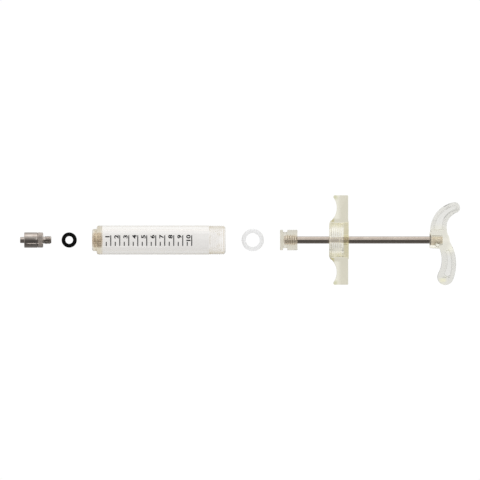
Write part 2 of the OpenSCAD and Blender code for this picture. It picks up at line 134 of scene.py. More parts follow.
INSERT_GROOVE = 0.35
INSERT_CHAMFER = 0.2
NOSE_BANDS = ((0.1, 1.3), (2.6, 5.0))
NOSE_FLUTES = 20
NOSE_FLUTE_DEPTH = 0.25
NOSE_INSERT_R = 3.45
NOSE_INSERT_LEN = 5.2
HANDLE_BANDS = ((0.2, 3.4), (4.4, 7.8))
HANDLE_FLUTES = 12
HANDLE_FLUTE_DEPTH = 0.3
HANDLE_INSERT_R = 3.5
HANDLE_INSERT_LEN = 8.0
INSERT_SINK = 0.6
# Columns of points for each flute
FLUTE_STEPS = 4

# Shares of a helix's pitch: this for each flank of its ridge, and those named crest for the ridge's flat
FLANK = 0.26
ROD_R = 2.35
ROD_ROOT_R = 1.9
ROD_PITCH = 1.4
ROD_CREST = 0.36
ROD_LEN = 104.925
ROD_CHAMFER = 0.3
ROD_LEAD = 0.1
ROD_RUNOUT = 0.2
PISTON_TURNS = 6
HANDLE_TURNS = 5
PISTON_R = 6.725
PISTON_LEN = 11.4
PISTON_FRONT = 2.3
LIP_W = 1.9
GROOVE_R = 5.375
GROOVE_W = 2.85

SLEEVE_R = 5.097
SLEEVE_START = 2.7
SLEEVE_END = 11.5
SLEEVE_EDGE = 0.4
# Seam between sleeve and knurl, and air under the pressed sleeve
SLEEVE_SEAM = 0.03
PRESS_AIR = 0.02
FLANGE_END = 15.2
FLANGE_R = 5.08
KNURL_DEPTH = 0.25
KNURL_COUNT = 32
KNURL_ROWS = 4
KNURL_LAP = 0.05
LOCK_R = 4.0
LOCK_START = 0.4
LOCK_TURNS = 2
LOCK_PITCH = 2.5
LOCK_CREST = 0.24
LOCK_DEPTH = 0.5
LUER_LEN = 9.0
LUER_TIP_R = 1.98
LUER_BASE_R = 2.25
PASSAGE_R = 1.0
STUB_R = 2.65
STUB_ROOT_R = 2.25
STUB_PITCH = 0.9
STUB_CREST = 0.46
STUB_TURNS = 4
STUB_START = 16.2
STUB_LEAD = 0.3
NOZZLE_LEN = 20.6

# The drawn rings' sections are wider than the solids', and carry their mould's parting line
O_RING_WIDEN = 1.16
SEAL_WIDEN = 1.02
PARTING_LINE = 0.05

HUB_R = 12.975
HUB_LEN = 12.8
HUB_FLAT = 0.3
HUB_EDGE = 0.7
HUB_BEVEL_LEN = 1.0
HUB_BEVEL_R = 1.9
HUB_BEVEL_EDGE = 0.5
SOCKET_DEPTH = 9.3
SOCKET_MOUTH = 0.5
# Plain stretches of the socket at its mouth and its floor, and the gap behind the barrel's end
MOUTH_PLAIN = 0.6
FLOOR_PLAIN = 0.2
END_GAP = 0.1
ROD_BORE_R = 2.5
ARM_BACK = 12.5
ARM_SPAN = 59.0
ARM_DEPTH = 12.4
ARM_THICK = 7.5
ARM_EDGE = 0.6
TIP_THICK = 9.7
TIP_EDGE = 0.8
NOTCH_R = 11.7
NOTCH_Y = 21.2375
NOTCH_STEPS = 26
ARM_ROOT = 10.5
# Angle at which the notch runs out into the hub
NOTCH_RUN = math.radians(44)

HANDLE_DEPTH = 12.0
HANDLE_EDGE = 1.1
WEB_T = 5.0
UPPER_C = Vector((20.494, 7.3))
UPPER_R = 14.6
LOWER_R = 23.2
HOOK_W = 3.6
WAIST_W = 5.4
PALM_W = 4.0
FOOT_W = 5.3
RIM_W = 1.9
PALM_INSET = 2.85
# Angles in degrees, around the centres of the handle's upper and lower bows
HOOK_ANGLE = 105.9
WAIST_ANGLE = 180
BEND_ANGLE = 215
FOOT_ANGLE = -25.5
PALM_ANGLE = 29
# The pockets reach closer to the boss than the solids' do
UPPER_POCKET = (105.9, 185.5)
LOWER_POCKET = (-19, 21)
POCKET_EDGE = 0.9
BOSS_R = 5.3
BOSS_END_R = 5.93
BOSS_LEN = 9.0
BOSS_EDGE = 0.5


# Modelling steps

def deselect():
    bpy.ops.object.select_all(action="DESELECT")


def pick(*pieces):
    deselect()
    for piece in pieces:
        piece.select_set(True)
    bpy.context.view_layer.objects.active = pieces[0]


def edit(piece):
    pick(piece)
    bpy.ops.object.mode_set(mode="EDIT")


def select(piece, kind, wanted):
    """Selects the vertices, edges or faces that a test accepts, by their place."""
    bpy.ops.mesh.select_mode(type=kind)
    bpy.ops.mesh.select_all(action="DESELECT")
    mesh = bmesh.from_edit_mesh(piece.data)
    for part in {"VERT": mesh.verts, "EDGE": mesh.edges, "FACE": mesh.faces}[kind]:
        if wanted(part):
            part.select_set(True)
    mesh.select_flush_mode()
    bmesh.update_edit_mesh(piece.data)


def draw(name, points, closed=True):
    """Draws a line through points by extruding one vertex, and leaves it selected in edit mode."""
    deselect()
    bpy.ops.mesh.primitive_plane_add(size=MM, location=points[0])
    piece = bpy.context.object
    piece.name = name
    bpy.ops.object.mode_set(mode="EDIT")
    bpy.ops.mesh.select_mode(type="VERT")
    bpy.ops.mesh.merge(type="CENTER")
    for a, b in zip(points, points[1:]):
        bpy.ops.mesh.extrude_region_move(TRANSFORM_OT_translate={"value": b - a})
    if closed:
        select(piece, "VERT", lambda v: len(v.link_edges) == 1)
        bpy.ops.mesh.edge_face_add()
    bpy.ops.mesh.select_all(action="SELECT")
    return piece


def close_shell():
    """Merges doubles and turns the faces outwards."""
    bpy.ops.mesh.select_all(action="SELECT")
    bpy.ops.mesh.remove_doubles(threshold=TOUCH)
    bpy.ops.mesh.normals_make_consistent(inside=False)
    bpy.ops.object.mode_set(mode="OBJECT")


def softened(corners, steps=4):
    """The points of a line whose corners are rounded by the radius that they give as a third number."""
    points = []
    for i, corner in enumerate(corners):
        here = Vector(corner[:2])
        if len(corner) < 3:
            points.append(here)
            continue
        back = (Vector(corners[i - 1][:2]) - here).normalized()
        ahead = (Vector(corners[(i + 1) % len(corners)][:2]) - here).normalized()
        half = back.angle(ahead) / 2
        centre = here + (back + ahead).normalized() * corner[2] / math.sin(half)
        start = here + back * corner[2] / math.tan(half) - centre
        end = here + ahead * corner[2] / math.tan(half) - centre
        first = math.atan2(start.y, start.x)
        sweep = (math.atan2(end.y, end.x) - first + math.pi) % FULL_TURN - math.pi
        for k in range(steps + 1):
            a = first + sweep * k / steps
            points.append(centre + corner[2] * Vector((math.cos(a), math.sin(a))))
    return points


def turn(name, corners, place, steps=128, closed=True):
    """Turns a profile of corners (along, radius, rounding) around the X axis through a place."""
    points = [place + Vector((p[0], 0, p[1])) * MM for p in softened(corners)]
    piece = draw(name, points, closed)
    bpy.ops.mesh.spin(steps=steps, angle=FULL_TURN, center=place, axis=(1, 0, 0))
    close_shell()
    return piece


def extrude_outline(name, outline, place, low, high):
    """Fills an outline of (x, y) points and extrudes it from one height to another."""
    piece = draw(name, [place + Vector((p[0], p[1], low)) * MM for p in outline])
    bpy.ops.mesh.edge_face_add()
    bpy.ops.mesh.extrude_region_move(TRANSFORM_OT_translate={"value": (0, 0, (high - low) * MM)})
    close_shell()
    return piece


def modify(piece, kind, **values):
    """Adds a modifier with its values and applies it."""
    pick(piece)
    bpy.ops.object.modifier_add(type=kind)
    modifier = piece.modifiers[-1]
    for key, value in values.items():
        setattr(modifier, key, value)
    bpy.ops.object.modifier_apply(modifier=modifier.name)


def combine(piece, other, operation):
    """Joins, cuts or intersects a piece with another, which is used up."""
    modify(piece, "BOOLEAN", object=other, operation=operation, solver="EXACT")
    pick(other)
    bpy.ops.object.delete()


def join(name, *pieces):
    pick(*pieces)
    bpy.ops.object.join()
    piece = bpy.context.object
    piece.name = name
    return piece


def helix(name, place, start, turns, pitch, root, crest, flat, steps=40):
    """A thread's ridge, whose flat takes a share of the pitch, wound around the X axis through a place."""
    half = flat / 2
    ridge = [(0.5 - FLANK - half, root), (0.5 - half, crest), (0.5 + half, crest), (0.5 + FLANK + half, root)]
    points = [place + Vector((start + a * pitch, 0, r)) * MM for a, r in ridge]
    piece = draw(name, points)
    bpy.ops.object.mode_set(mode="OBJECT")
    bpy.context.scene.cursor.location = place
    bpy.ops.object.origin_set(type="ORIGIN_CURSOR")
    modify(piece, "SCREW", axis="X", angle=FULL_TURN, screw_offset=pitch * MM, iterations=turns,
           steps=steps, render_steps=steps)
    edit(piece)
    bpy.ops.mesh.select_all(action="SELECT")
    bpy.ops.mesh.fill_holes(sides=4)
    close_shell()
    return piece


def soften_edges(piece, width, wanted, segments=3):
    """Rounds the edges that a test accepts."""
    edit(piece)
    select(piece, "EDGE", wanted)
    bpy.ops.mesh.bevel(offset=width * MM, segments=segments, affect="EDGES")
    bpy.ops.object.mode_set(mode="OBJECT")


def soften_faces(piece, width, half_depth, segments=3):
    """Rounds the edges of the upper and lower faces of an outline that lies evenly about the rod's axis."""
    level = AXIS - piece.location.z
    reach = (half_depth - MARGIN) * MM
    soften_edges(piece, width, lambda e: abs(e.verts[0].co.z - e.verts[1].co.z) < TOUCH
                 and abs(e.verts[0].co.z - level) > reach, segments)


def teeth(start, turns, root, crest):
    """The barrel thread's softened profile, as (along, radius, rounding) points."""
    corners = ((root, FINE_EDGE), (crest, TOOTH_EDGE), (crest, TOOTH_EDGE), (root, FINE_EDGE))
    return [(start + (i + share) * THREAD_PITCH, r, soft)
            for i in range(turns) for share, (r, soft) in zip(TOOTH, corners)]


# Edges sharper than this stay sharp, in degrees
SHARP = 32


def finish_piece(piece, name, material, body, slot, *nodes):
    """Puts the piece's place into its mesh, shades it and hands it to its body."""
    pick(piece)
    piece.name = name
    piece.data.name = name
    bpy.ops.object.transform_apply(location=True, rotation=True, scale=True)
    bpy.ops.object.shade_smooth_by_angle(angle=math.radians(SHARP))
    piece.data.materials.clear()
    piece.data.materials.append(material)
    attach(piece, body)
    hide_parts(*nodes)


# Steps for finishes

def feed(tree, socket, value):
    """Links another socket into a socket, or sets a plain value on it."""
    if isinstance(value, bpy.types.NodeSocket):
        tree.links.new(value, socket)
    else:
        socket.default_value = value


def calculate(tree, operation, *values, kind="ShaderNodeMath", result=0):
    """The result of a math node."""
    node = tree.nodes.new(kind)
    node.operation = operation
    for socket, value in zip(node.inputs, values):
        feed(tree, socket, value)
    return node.outputs[result]


def mix(tree, factor, first, second, kind="FLOAT", clamp=True):
    """A blend of two values or colours."""
    node = tree.nodes.new("ShaderNodeMix")
    node.data_type = kind
    node.clamp_factor = clamp
    for label, value in (("Factor", factor), ("A", first), ("B", second)):
        feed(tree, node.inputs[label], value)
    return node.outputs["Result"]


def share_of(tree, value, start, end, kind="LINEAR"):
    """How far a value lies on the way from a start to an end, from 0 to 1."""
    node = tree.nodes.new("ShaderNodeMapRange")
    node.interpolation_type = kind
    for label, setting in (("From Min", start), ("From Max", end), ("Value", value)):
        feed(tree, node.inputs[label], setting)
    return node.outputs["Result"]


def grey_ramp(tree, levels, share):
    """Grey levels at stops along a share of the way."""
    ramp = tree.nodes.new("ShaderNodeValToRGB")
    stops = ramp.color_ramp.elements
    for position, _ in levels[2:]:
        stops.new(position)
    for stop, (position, level) in zip(stops, levels):
        stop.position = position
        stop.color = (level, level, level, 1)
    feed(tree, ramp.inputs["Fac"], share)
    return ramp.outputs["Color"]


def split_place(tree, vector):
    """The X, Y and Z of a place or direction."""
    node = tree.nodes.new("ShaderNodeSeparateXYZ")
    feed(tree, node.inputs["Vector"], vector)
    return node.outputs


def use_group(tree, group, **values):
    """Puts a group into a material with its own values, and gives its outputs."""
    node = tree.nodes.new("ShaderNodeGroup")
    node.node_tree = group
    for label, value in values.items():
        feed(tree, node.inputs[label], value)
    return node.outputs


def new_group(name, inputs, outputs):
    """A group with named sockets, each given with its kind."""
    group = bpy.data.node_groups.new(name, "ShaderNodeTree")
    for way, sockets in (("INPUT", inputs), ("OUTPUT", outputs)):
        for label, kind in sockets.items():
            group.interface.new_socket(label, in_out=way, socket_type="NodeSocket" + kind)
    return group, group.nodes.new("NodeGroupInput").outputs, group.nodes.new("NodeGroupOutput").inputs


def noise(group, vector, scale, detail):
    """A cloudy noise."""
    node = group.nodes.new("ShaderNodeTexNoise")
    for label, value in (("Vector", vector), ("Scale", scale), ("Detail", detail)):
        feed(group, node.inputs[label], value)
    return node.outputs["Fac"]


def make_cloudy_tint():
    """Slow changes between two colours, with a value for the roughness."""
    group, given, out = new_group(
        "cloudy_tint",
        {"Vector": "Vector", "Scale": "Float", "Pale": "Color", "Deep": "Color",
         "Smooth": "Float", "Dull": "Float"},
        {"Color": "Color", "Roughness": "Float"})
    clouds = share_of(group, noise(group, given["Vector"], given["Scale"], detail=4), 0.3, 0.7)
    feed(group, out["Color"], mix(group, clouds, given["Pale"], given["Deep"], kind="RGBA"))
    feed(group, out["Roughness"], mix(group, clouds, given["Smooth"], given["Dull"]))
    return group


def make_fine_lines():
    """Fine lines across one direction of a stretched noise, as a height."""
    group, given, out = new_group(
        "fine_lines", {"Vector": "Vector", "Stretch": "Vector", "Scale": "Float"}, {"Height": "Float"})
    stretched = calculate(group, "MULTIPLY", given["Vector"], given["Stretch"], kind="ShaderNodeVectorMath")
    feed(group, out["Height"], noise(group, stretched, given["Scale"], detail=3))
    return group


def make_gauge():
    """Places on a piece: along the row, across it, and from the rod's axis and the hook's centre."""
    group, given, out = new_group(
        "gauge", {"Vector": "Vector"},
        {"Along": "Float", "Across": "Float", "Radius": "Float", "Hook": "Float"})
    place = split_place(group, given["Vector"])
    feed(group, out["Along"], place["X"])
    feed(group, out["Across"], place["Y"])
    hook = HANDLE + UPPER_C.to_3d() * MM
    spokes = (("Radius", (0, 1, 1), (0, 0, -AXIS)), ("Hook", (1, 1, 0), (-hook.x, -hook.y, 0)))
    for label, plane, centre in spokes:
        spoke = calculate(group, "MULTIPLY_ADD", given["Vector"], plane, centre, kind="ShaderNodeVectorMath")
        length = calculate(group, "LENGTH", spoke, kind="ShaderNodeVectorMath", result="Value")
        feed(group, out[label], length)
    return group


CLOUDY_TINT = make_cloudy_tint()
FINE_LINES = make_fine_lines()
GAUGE = make_gauge()
# Depth of fine surface lines, in millimetres
RELIEF = 0.02


def new_finish(name, pale, deep, gloss, clouds, lines, line_scale, bump, **values):
    """A material whose colour, gloss (least and most roughness) and lines come from the groups."""
    material = bpy.data.materials.new(name)
    material.use_nodes = True
    tree = material.node_tree
    shader = tree.nodes["Principled BSDF"].inputs
    place = tree.nodes.new("ShaderNodeTexCoord").outputs["Object"]
    tint = use_group(tree, CLOUDY_TINT, Vector=place, Scale=clouds, Pale=(*pale, 1), Deep=(*deep, 1),
                     Smooth=gloss[0], Dull=gloss[1])
    feed(tree, shader["Base Color"], tint["Color"])
    feed(tree, shader["Roughness"], tint["Roughness"])
    marks = use_group(tree, FINE_LINES, Vector=place, Stretch=lines, Scale=line_scale)
    relief = tree.nodes.new("ShaderNodeBump")
    for label, value in (("Strength", bump), ("Distance", RELIEF * MM), ("Height", marks["Height"])):
        feed(tree, relief.inputs[label], value)
    feed(tree, shader["Normal"], relief.outputs["Normal"])
    for label, value in values.items():
        shader[label.replace("_", " ")].default_value = value
    return material


# How the fine lines of a surface are stretched
ROUND = (1, 0.02, 0.02)
ALONG = (0.01, 1, 1)
ALL_WAYS = (1, 1, 1)
# Strength of the painted glow that stands in for light scattered in clear plastic, and the plastic's density
HAZE_GLOW = 0.2
DENSITY = 100


def clear_plastic(name, pale, deep, gloss, absorb, wandering, ior=1.47, haze_glow=(0, 0, 0), faces=4):
    """A clear plastic, tinted where thick, with a painted glow for light scattered in it. Light that has met
    as many faces as given is an even glow.
    """
    material = new_finish(name, pale, deep, gloss, clouds=120, lines=ALL_WAYS, line_scale=500, bump=0.04,
                          IOR=ior, Transmission_Weight=1.0, Emission_Color=(*haze_glow, 1),
                          Emission_Strength=HAZE_GLOW)
    tree = material.node_tree
    nodes = tree.nodes
    depth = nodes.new("ShaderNodeVolumeAbsorption")
    depth.inputs["Color"].default_value = (*absorb, 1)
    depth.inputs["Density"].default_value = DENSITY
    met = nodes.new("ShaderNodeLightPath").outputs["Ray Depth"]
    glow = nodes.new("ShaderNodeEmission")
    glow.inputs["Color"].default_value = (*wandering, 1)
    surface = nodes.new("ShaderNodeMixShader")
    feed(tree, surface.inputs["Fac"], calculate(tree, "GREATER_THAN", met, faces - 0.5))
    feed(tree, surface.inputs[1], nodes["Principled BSDF"].outputs["BSDF"])
    feed(tree, surface.inputs[2], glow.outputs["Emission"])
    feed(tree, nodes["Material Output"].inputs["Surface"], surface.outputs["Shader"])
    feed(tree, nodes["Material Output"].inputs["Volume"], depth.outputs["Volume"])
    return material


# Finishes: pale and deep colour, least and most roughness, size of clouds and lines

nickel = new_finish("nickel_plate", (0.56, 0.508, 0.468), (0.47, 0.41, 0.366), gloss=(0.11, 0.2), clouds=300,
                    lines=ROUND, line_scale=2500, bump=0.25, Metallic=1.0)
steel = new_finish("drawn_steel", (0.57, 0.50, 0.435), (0.49, 0.42, 0.363), gloss=(0.14, 0.24), clouds=250,
                   lines=ALONG, line_scale=1500, bump=0.2, Metallic=1.0)
nose_brass = new_finish("nose_brass", (0.82, 0.735, 0.64), (0.64, 0.565, 0.49), gloss=(0.2, 0.35), clouds=300,
                        lines=ROUND, line_scale=1500, bump=0.3, Metallic=1.0)
handle_brass = new_finish("handle_brass", (0.99, 0.92, 0.84), (0.88, 0.79, 0.70), gloss=(0.22, 0.36),
                          clouds=300, lines=ROUND, line_scale=1500, bump=0.3, Metallic=1.0)
black_rubber = new_finish("black_rubber", (0.004, 0.004, 0.004), (0.009, 0.009, 0.009), gloss=(0.42, 0.6),
                          clouds=500, lines=ALL_WAYS, line_scale=4000, bump=0.35, Specular_IOR_Level=0.0)
white_silicone = new_finish("white_silicone", (0.90, 0.90, 0.90), (0.86, 0.86, 0.865), gloss=(0.35, 0.5),
                            clouds=300, lines=ALL_WAYS, line_scale=2500, bump=0.15)
ink = new_finish("scale_ink", (0.006, 0.006, 0.007), (0.014, 0.014, 0.014), gloss=(0.45, 0.6), clouds=900,
                 lines=ALL_WAYS, line_scale=3000, bump=0.2, Specular_IOR_Level=0.1)
barrel_clear = clear_plastic("barrel_clear", (0.98, 0.973, 0.973), (0.96, 0.953, 0.95), gloss=(0.03, 0.08),
                             absorb=(0.88, 0.87, 0.83), wandering=(0.80, 0.735, 0.625), ior=1.42)
grip_amber = clear_plastic("grip_amber", (0.84, 0.835, 0.82), (0.82, 0.815, 0.795), gloss=(0.03, 0.08),
                           absorb=(0.91, 0.895, 0.81), wandering=(0.86, 0.83, 0.72),
                           haze_glow=(0.20, 0.195, 0.165), faces=6)
handle_clear = clear_plastic("handle_clear", (0.845, 0.842, 0.822), (0.825, 0.822, 0.80), gloss=(0.03, 0.08),
                             absorb=(0.92, 0.915, 0.89), wandering=(0.74, 0.73, 0.67), faces=6)
piston_clear = clear_plastic("piston_clear", (1, 1, 1), (0.98, 0.97, 0.94), gloss=(0.04, 0.10),
                             absorb=(0.74, 0.71, 0.60), wandering=(0.68, 0.64, 0.55),
                             haze_glow=(0.135, 0.128, 0.11))


# Tints by place

def blend_tint(material, colour, *zones, socket="Base Color"):
    """Blends a finish's colour into another, where measured places lie in all of the zones."""
    tree = material.node_tree
    tinted = tree.nodes["Principled BSDF"].inputs[socket]
    gauge = use_group(tree, GAUGE, Vector=tree.nodes.new("ShaderNodeTexCoord").outputs["Object"])
    amount = None
    for measure, start, full in sum(zones, ()):
        share = share_of(tree, gauge[measure], start, full, kind="SMOOTHSTEP")
        amount = calculate(tree, "MULTIPLY", amount, share) if amount else share
    before = tinted.links[0].from_socket if tinted.is_linked else tinted.default_value
    feed(tree, tinted, mix(tree, amount, before, (*colour, 1), kind="RGBA"))


def rise(measure, start, full, origin=0.0):
    """A zone from where a tint starts to where it is full and stays so, in millimetres from an origin."""
    return ((measure, origin + start * MM, origin + full * MM),)


def band(measure, low, high, soft, origin=0.0):
    """A zone between two places, with soft sides outside them."""
    return rise(measure, low - soft, low, origin) + rise(measure, high + soft, high, origin)


# Barrel: the solid plastic around the nose's insert, and the clear rim in front of it
SOLID_NOSE = rise("Along", 6.6, 5.4, BARREL.x)
NOSE_RIM = rise("Along", 1.5, 1.0, BARREL.x)
blend_tint(barrel_clear, (0.94, 0.87, 0.74), SOLID_NOSE)
blend_tint(barrel_clear, (0.97, 0.95, 0.93), NOSE_RIM)

# Grip: painted stripes of shade on its thread's roots and crests, the wall behind the socket, the arms, and
# painted shade in the corners and painted yellow-green light at the tips of the arms
SEEN_THREAD = rise("Across", 7.4, 6.2) + rise("Across", -9.3, -8.3)
ROOTS = rise("Radius", 9.4, 9.6) + rise("Radius", 10.6, 10.5)
CRESTS = rise("Radius", 9.66, 9.45) + rise("Radius", 9.2, 9.3)
BACK_WALL = rise("Along", 9.3, 10, GRIP.x)
ARMS = rise("Radius", 13.0, 13.6)
ARM_FRONTS = rise("Radius", 14.5, 16) + rise("Along", 8.5, 5, GRIP.x)
blend_tint(grip_amber, (0.57, 0.555, 0.53), ROOTS, SEEN_THREAD)
blend_tint(grip_amber, (0.76, 0.757, 0.745), CRESTS, SEEN_THREAD)
blend_tint(grip_amber, (0.84, 0.81, 0.69), BACK_WALL)
blend_tint(grip_amber, (0.695, 0.682, 0.635), ARMS)
blend_tint(grip_amber, (0.86, 0.855, 0.83), ARM_FRONTS)
# Painted shade in the corners where the arms meet the hub, and painted yellow-green light at the front of the
# arm tips
for side in (-1, 1):
    corner = (rise("Across", side * 11.4, side * 12.2) + rise("Across", side * 15.2, side * 13.8)
              + rise("Along", 3.8, 2.6, GRIP.x))
    tip = rise("Across", side * 26, side * 28) + rise("Along", 7, 4, GRIP.x)
    blend_tint(grip_amber, (0.50, 0.45, 0.22), corner)
    blend_tint(grip_amber, (0.66, 0.67, 0.52), tip)
# A painted glow on the thread's crests, stronger over the rod, and two rows of painted dark dashes of shade
# below the rod
GLOW_OVER_ROD = (rise("Across", -2.7, -2.0) + rise("Across", 2.7, 2.0)
            + rise("Radius", 9.2, 9.3) + rise("Radius", 10.6, 10.5))
DASH_SHADE_ROWS = (band("Across", -6.15, -5.75, 0.25), band("Across", -8.25, -7.95, 0.25))
blend_tint(grip_amber, (0.85, 0.84, 0.80), CRESTS, SEEN_THREAD, socket="Emission Color")
blend_tint(grip_amber, (1.0, 0.94, 0.86), GLOW_OVER_ROD, socket="Emission Color")
for row in DASH_SHADE_ROWS:
    blend_tint(grip_amber, (0.35, 0.34, 0.31), CRESTS, row)
    blend_tint(grip_amber, (0.05, 0.05, 0.05), CRESTS, row, socket="Emission Color")

# Handle: a painted glow in its boss, the plastic around it, painted highlights on its waist, and a painted
# yellow glint on its foot
BOSS = rise("Radius", 6.5, 5.5)
AROUND_BOSS = rise("Radius", 12, 8)
WAIST = rise("Across", -1.5, -5) + rise("Across", -9, -5.5) + rise("Along", 10.5, 14, HANDLE.x)
FOOT = band("Across", -26.7, -26.1, 1.8) + band("Along", 8.2, 9.6, 2.4, HANDLE.x)
blend_tint(handle_clear, (0.29, 0.27, 0.235), BOSS, socket="Emission Color")
blend_tint(handle_clear, (0.86, 0.85, 0.785), AROUND_BOSS)
blend_tint(handle_clear, (0.87, 0.855, 0.70), FOOT)
blend_tint(handle_clear, (0.30, 0.30, 0.25), WAIST, socket="Emission Color")
blend_tint(handle_clear, (0.16, 0.15, 0.07), FOOT, socket="Emission Color")
# Painted shade: dark lines at the lower pocket's end, on the hook's pocket wall and outer edge, and a painted
# shadow where the rod enters
POCKET_END_SHADE = band("Across", -24.7, -24.3, 0.25) + band("Along", 9.2, 13.2, 0.8, HANDLE.x)
HOOK_WALL_SHADE = (rise("Hook", 12.65, 12.9) + rise("Hook", 13.35, 13.1)
             + rise("Across", 13, 15) + rise("Across", 20.6, 19.6))
HOOK_EDGE_SHADE = rise("Hook", 17.8, 18.2) + band("Across", 22.4, 23.8, 0.6)
ROD_ENTRY_SHADOW = rise("Along", 1.2, 0.9, HANDLE.x) + rise("Radius", 5.0, 4.4)
blend_tint(handle_clear, (0.62, 0.62, 0.57), POCKET_END_SHADE)
blend_tint(handle_clear, (0.46, 0.46, 0.445), HOOK_WALL_SHADE)
blend_tint(handle_clear, (0.30, 0.30, 0.29), HOOK_EDGE_SHADE)
blend_tint(handle_clear, (0.06, 0.05, 0.04), ROD_ENTRY_SHADOW)

# Inserts: the grooves between their knurled bands, and painted shade on the lower flutes of the handle's
# insert
GROOVES = rise("Radius", 3.2, 3.12)
LOWER_FLUTE_SHADE = rise("Across", -1.6, -2.2) + band("Along", 3.2, 6.8, 0.6, HANDLE.x)
for brass in (nose_brass, handle_brass):
    blend_tint(brass, (0.99, 0.92, 0.80), GROOVES)
blend_tint(handle_brass, (0.50, 0.46, 0.40), LOWER_FLUTE_SHADE)

# Rod: a painted highlight on its thread in the piston, and painted shade in the roots of its threads
ROD_HIGHLIGHT_IN_PISTON = rise("Along", 8.8, 8.4, ROD.x)
ROD_ROOT_SHADE = rise("Radius", 2.25, 2.0)
blend_tint(steel, (0.86, 0.79, 0.70), ROD_HIGHLIGHT_IN_PISTON)
blend_tint(steel, (0.60, 0.53, 0.46), ROD_ROOT_SHADE)


# Nozzle

def diamond_band(name, place, start, end, radius, depth, count, rows):
    """A band of raised diamonds around the X axis."""
    step = (end - start - 2 * depth) / rows
    inner = radius - 4 * depth
    edge = [(start + depth + i * step, radius - depth) for i in range(rows + 1)]
    corners = [(start, inner), (start, radius - 2 * depth), *edge, (end, radius - 2 * depth), (end, inner)]
    piece = turn(name, corners, place, steps=count)
    edit(piece)

    def on_band(v):
        return math.hypot(v.co.y, v.co.z + piece.location.z - place.z) > (radius - depth - MARGIN) * MM

    first_corners = len(piece.data.vertices)
    select(piece, "FACE", lambda f: all(on_band(v) for v in f.verts))
    bpy.ops.mesh.poke()
    select(piece, "EDGE", lambda e: all(v.index < first_corners and on_band(v) for v in e.verts)
           and all(len(f.verts) == 3 for f in e.link_faces))
    bpy.ops.mesh.dissolve_edges(use_verts=False)
    select(piece, "FACE", lambda f: len(f.verts) == 4 and any(v.index >= first_corners for v in f.verts))
    bpy.ops.mesh.poke(offset=depth * MM)
    close_shell()
    return piece


spigot_r = LOCK_R - PRESS_AIR
under_knurl = FLANGE_R - 3 * KNURL_DEPTH
core = turn("nozzle_core", [
    (0, PASSAGE_R, FINE_EDGE), (0, LUER_TIP_R, TURNED_EDGE), (LUER_LEN, LUER_BASE_R, TURNED_EDGE),
    (LUER_LEN, spigot_r), (SLEEVE_END + KNURL_LAP, spigot_r), (SLEEVE_END + KNURL_LAP, under_knurl),
    (FLANGE_END - KNURL_LAP, under_knurl), (FLANGE_END - KNURL_LAP, STUB_ROOT_R, TURNED_EDGE),
    (NOZZLE_LEN, STUB_ROOT_R, SMALL_EDGE), (NOZZLE_LEN, PASSAGE_R, FINE_EDGE)], NOZZLE, steps=96)
knurl = diamond_band("knurl", NOZZLE, SLEEVE_END, FLANGE_END, FLANGE_R, KNURL_DEPTH, KNURL_COUNT, KNURL_ROWS)
stub_thread = helix("stub_thread", NOZZLE, STUB_START - STUB_LEAD, STUB_TURNS, STUB_PITCH,
                    STUB_ROOT_R - RIDGE_SINK, STUB_R, STUB_CREST)
finish_piece(join("nozzle_core", core, knurl, stub_thread), "nozzle_body", nickel, "nozzle", "nickel",
             "nozzle_core")

sleeve_back = SLEEVE_END - SLEEVE_SEAM
sleeve = turn("sleeve", [
    (SLEEVE_START, LOCK_R, TURNED_EDGE), (SLEEVE_START, SLEEVE_R, SLEEVE_EDGE),
    (sleeve_back, SLEEVE_R, FINE_EDGE), (sleeve_back, LOCK_R)], NOZZLE)
lock_thread = helix("lock_thread", NOZZLE, SLEEVE_START + LOCK_START, LOCK_TURNS, LOCK_PITCH,
                    LOCK_R + RIDGE_SINK, LOCK_R - LOCK_DEPTH, LOCK_CREST)
finish_piece(join("lock_sleeve", sleeve, lock_thread), "nozzle_sleeve", nickel, "nozzle", "nickel",
             "lock_sleeve")


# Rings

def moulded_ring(name, node, steps, section_steps, widen):
    """A ring of slightly flat section, with the fine parting line of its mould."""
    low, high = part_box(node)
    section = high.z - low.z
    deselect()
    bpy.ops.mesh.primitive_torus_add(
        location=middle(node), major_segments=steps, minor_segments=section_steps,
        major_radius=(high.x - low.x - section) / 2, minor_radius=section * widen / 2)
    piece = bpy.context.object
    piece.name = name
    bpy.ops.transform.resize(value=(1, 1, 1 / widen))
    edit(piece)
    select(piece, "EDGE", lambda e: all(abs(v.co.z) < MARGIN * MM for v in e.verts))
    bpy.ops.mesh.bevel(offset=PARTING_LINE * MM, segments=2, affect="EDGES", profile=0.9)
    bpy.ops.object.mode_set(mode="OBJECT")
    return piece


o_ring = moulded_ring("o_ring", "nozzle_o_ring", steps=96, section_steps=32, widen=O_RING_WIDEN)
finish_piece(o_ring, "nozzle_seal", black_rubber, "o_ring", "black_rubber", "nozzle_o_ring")
seal_ring = moulded_ring("seal_ring", "piston_seal", steps=128, section_steps=40, widen=SEAL_WIDEN)
finish_piece(seal_ring, "piston_ring", white_silicone, "seal", "white_silicone", "piston_seal")


# Barrel and its scale

